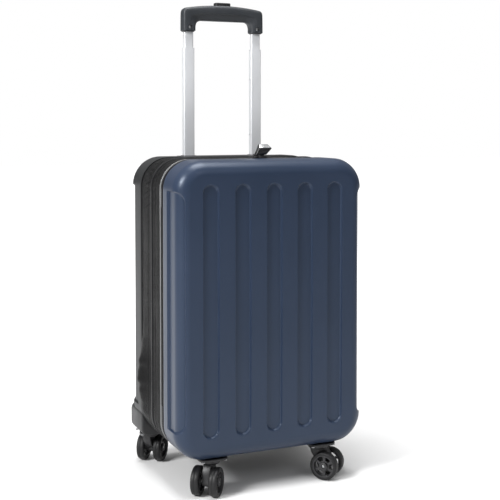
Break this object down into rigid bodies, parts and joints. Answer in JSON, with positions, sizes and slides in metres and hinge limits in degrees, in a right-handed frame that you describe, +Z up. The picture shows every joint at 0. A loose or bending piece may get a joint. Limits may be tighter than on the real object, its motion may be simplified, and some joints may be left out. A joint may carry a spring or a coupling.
{
  "type": "hard shell suitcase on wheels",
  "caption": "Upright hard shell cabin suitcase with fluted moulded shells, expansion gusset, telescopic trolley handle and swivelling twin-wheel castors.",
  "frame": {"origin": "on the floor, under the middle of the case", "axes": "+Z up along the trolley tubes, -Y out of the fluted front face, +X to the right seen from the front"},
  "size_m": [0.34, 0.274, 0.8295],
  "materials": {
    "blue_shell": "satin",
    "grey_shell": "semi-gloss",
    "gusset_fabric": "woven, matt",
    "lining_fabric": "thin woven, matt",
    "piping": "satin",
    "zip_tape": "woven tape with coil teeth",
    "zip_metal": "satin black",
    "black_plastic": "fine grain",
    "grip_plastic": "soft-touch, fine grain",
    "aluminium": "satin anodised",
    "steel": "bright zinc plated",
    "wheel": "hard moulded, matt"
  },
  "bodies": {
    "rear_half": {"back_shell": "grey_shell", "zip_tape_rear": "zip_tape", "hinge_strip": "gusset_fabric", "piping": "piping", "gusset_front": "gusset_fabric", "expansion_zip": "zip_tape", "gusset_rear": "gusset_fabric", "trolley_bezel": "black_plastic", "trolley_foot_left": "black_plastic", "trolley_foot_right": "black_plastic", "guide_tube_left": "steel", "guide_tube_right": "steel", "trolley_lining": "lining_fabric", "packing_strap_left": "lining_fabric", "packing_strap_right": "lining_fabric", "buckle_socket": "black_plastic", "buckle_clip": "black_plastic", "housing_rear_left": "black_plastic", "housing_rear_right": "black_plastic"},
    "front_half": {"front_shell": "blue_shell", "zip_tape_front": "zip_tape", "divider_panel": "lining_fabric", "housing_front_left": "black_plastic", "housing_front_right": "black_plastic"},
    "slider_left": {"zip_slider_left": "zip_metal"},
    "slider_right": {"zip_slider_right": "zip_metal"},
    "pull_left": {"zip_pull_left": "black_plastic"},
    "pull_right": {"zip_pull_right": "black_plastic"},
    "lower_stage": {"lower_tube_left": "aluminium", "lower_tube_right": "aluminium"},
    "upper_stage": {"upper_tube_left": "aluminium", "upper_tube_right": "aluminium", "trolley_grip": "grip_plastic", "grip_screw_left": "steel", "grip_screw_right": "steel"},
    "release": {"release_button": "black_plastic", "release_link": "steel", "push_rod_left": "steel", "push_rod_right": "steel"},
    "castor_front_left": {"fork_front_left": "black_plastic", "axle_front_left": "steel"},
    "wheel_front_left_a": {"wheel_front_left_a": "wheel"},
    "wheel_front_left_b": {"wheel_front_left_b": "wheel"},
    "castor_front_right": {"fork_front_right": "black_plastic", "axle_front_right": "steel"},
    "wheel_front_right_a": {"wheel_front_right_a": "wheel"},
    "wheel_front_right_b": {"wheel_front_right_b": "wheel"},
    "castor_rear_left": {"fork_rear_left": "black_plastic", "axle_rear_left": "steel"},
    "wheel_rear_left_a": {"wheel_rear_left_a": "wheel"},
    "wheel_rear_left_b": {"wheel_rear_left_b": "wheel"},
    "castor_rear_right": {"fork_rear_right": "black_plastic", "axle_rear_right": "steel"},
    "wheel_rear_right_a": {"wheel_rear_right_a": "wheel"},
    "wheel_rear_right_b": {"wheel_rear_right_b": "wheel"}
  },
  "joints": [
    {"name": "case_open", "type": "hinge", "parent": "rear_half", "child": "front_half", "pos_m": [-0.1705, -0.051, 0.306], "axis": [0, 0, 1], "range_deg": [-180, 0]},
    {"name": "zip_left_run", "type": "slide", "parent": "rear_half", "child": "slider_left", "axis": [-1, 0, 0], "range_m": [0, 0.1]},
    {"name": "zip_right_run", "type": "slide", "parent": "rear_half", "child": "slider_right", "axis": [1, 0, 0], "range_m": [0, 0.09]},
    {"name": "pull_left_swing", "type": "hinge", "parent": "slider_left", "child": "pull_left", "pos_m": [0, -0.051, 0.55515], "axis": [0, -1, 0], "range_deg": [-6, 90]},
    {"name": "pull_right_swing", "type": "hinge", "parent": "slider_right", "child": "pull_right", "pos_m": [0.0146, -0.0445, 0.55515], "axis": [1, 0, 0], "range_deg": [0, 60]},
    {"name": "lower_stage_slide", "type": "slide", "parent": "rear_half", "child": "lower_stage", "axis": [0, 0, 1], "range_m": [-0.19, 0]},
    {"name": "upper_stage_slide", "type": "slide", "parent": "lower_stage", "child": "upper_stage", "axis": [0, 0, 1], "range_m": [-0.027, 0.17]},
    {"name": "button_press", "type": "slide", "parent": "upper_stage", "child": "release", "axis": [0, 0, -1], "range_m": [0, 0.003], "stiffness_N_per_m": 1500, "springref_m": -0.004},
    {"name": "swivel_front_left", "type": "hinge", "parent": "front_half", "child": "castor_front_left", "pos_m": [-0.1, -0.091, 0.055], "axis": [0, 0, 1], "continuous": true},
    {"name": "roll_front_left_a", "type": "hinge", "parent": "castor_front_left", "child": "wheel_front_left_a", "pos_m": [-0.12274, -0.09446, 0.024], "axis": [0.7771, -0.6293, 0], "continuous": true},
    {"name": "roll_front_left_b", "type": "hinge", "parent": "castor_front_left", "child": "wheel_front_left_b", "pos_m": [-0.09865, -0.11397, 0.024], "axis": [0.7771, -0.6293, 0], "continuous": true},
    {"name": "swivel_front_right", "type": "hinge", "parent": "front_half", "child": "castor_front_right", "pos_m": [0.1, -0.091, 0.055], "axis": [0, 0, 1], "continuous": true},
    {"name": "roll_front_right_a", "type": "hinge", "parent": "castor_front_right", "child": "wheel_front_right_a", "pos_m": [0.10026, -0.114, 0.024], "axis": [0.7314, 0.682, 0], "continuous": true},
    {"name": "roll_front_right_b", "type": "hinge", "parent": "castor_front_right", "child": "wheel_front_right_b", "pos_m": [0.12293, -0.09286, 0.024], "axis": [0.7314, 0.682, 0], "continuous": true},
    {"name": "swivel_rear_left", "type": "hinge", "parent": "rear_half", "child": "castor_rear_left", "pos_m": [-0.147, 0.091, 0.055], "axis": [0, 0, 1], "continuous": true},
    {"name": "roll_rear_left_a", "type": "hinge", "parent": "castor_rear_left", "child": "wheel_rear_left_a", "pos_m": [-0.12426, 0.09446, 0.024], "axis": [-0.7771, 0.6293, 0], "continuous": true},
    {"name": "roll_rear_left_b", "type": "hinge", "parent": "castor_rear_left", "child": "wheel_rear_left_b", "pos_m": [-0.14835, 0.11397, 0.024], "axis": [-0.7771, 0.6293, 0], "continuous": true},
    {"name": "swivel_rear_right", "type": "hinge", "parent": "rear_half", "child": "castor_rear_right", "pos_m": [0.147, 0.091, 0.055], "axis": [0, 0, 1], "continuous": true},
    {"name": "roll_rear_right_a", "type": "hinge", "parent": "castor_rear_right", "child": "wheel_rear_right_a", "pos_m": [0.14835, 0.11397, 0.024], "axis": [-0.7771, -0.6293, 0], "continuous": true},
    {"name": "roll_rear_right_b", "type": "hinge", "parent": "castor_rear_right", "child": "wheel_rear_right_b", "pos_m": [0.12426, 0.09446, 0.024], "axis": [-0.7771, -0.6293, 0], "continuous": true}
  ]
}
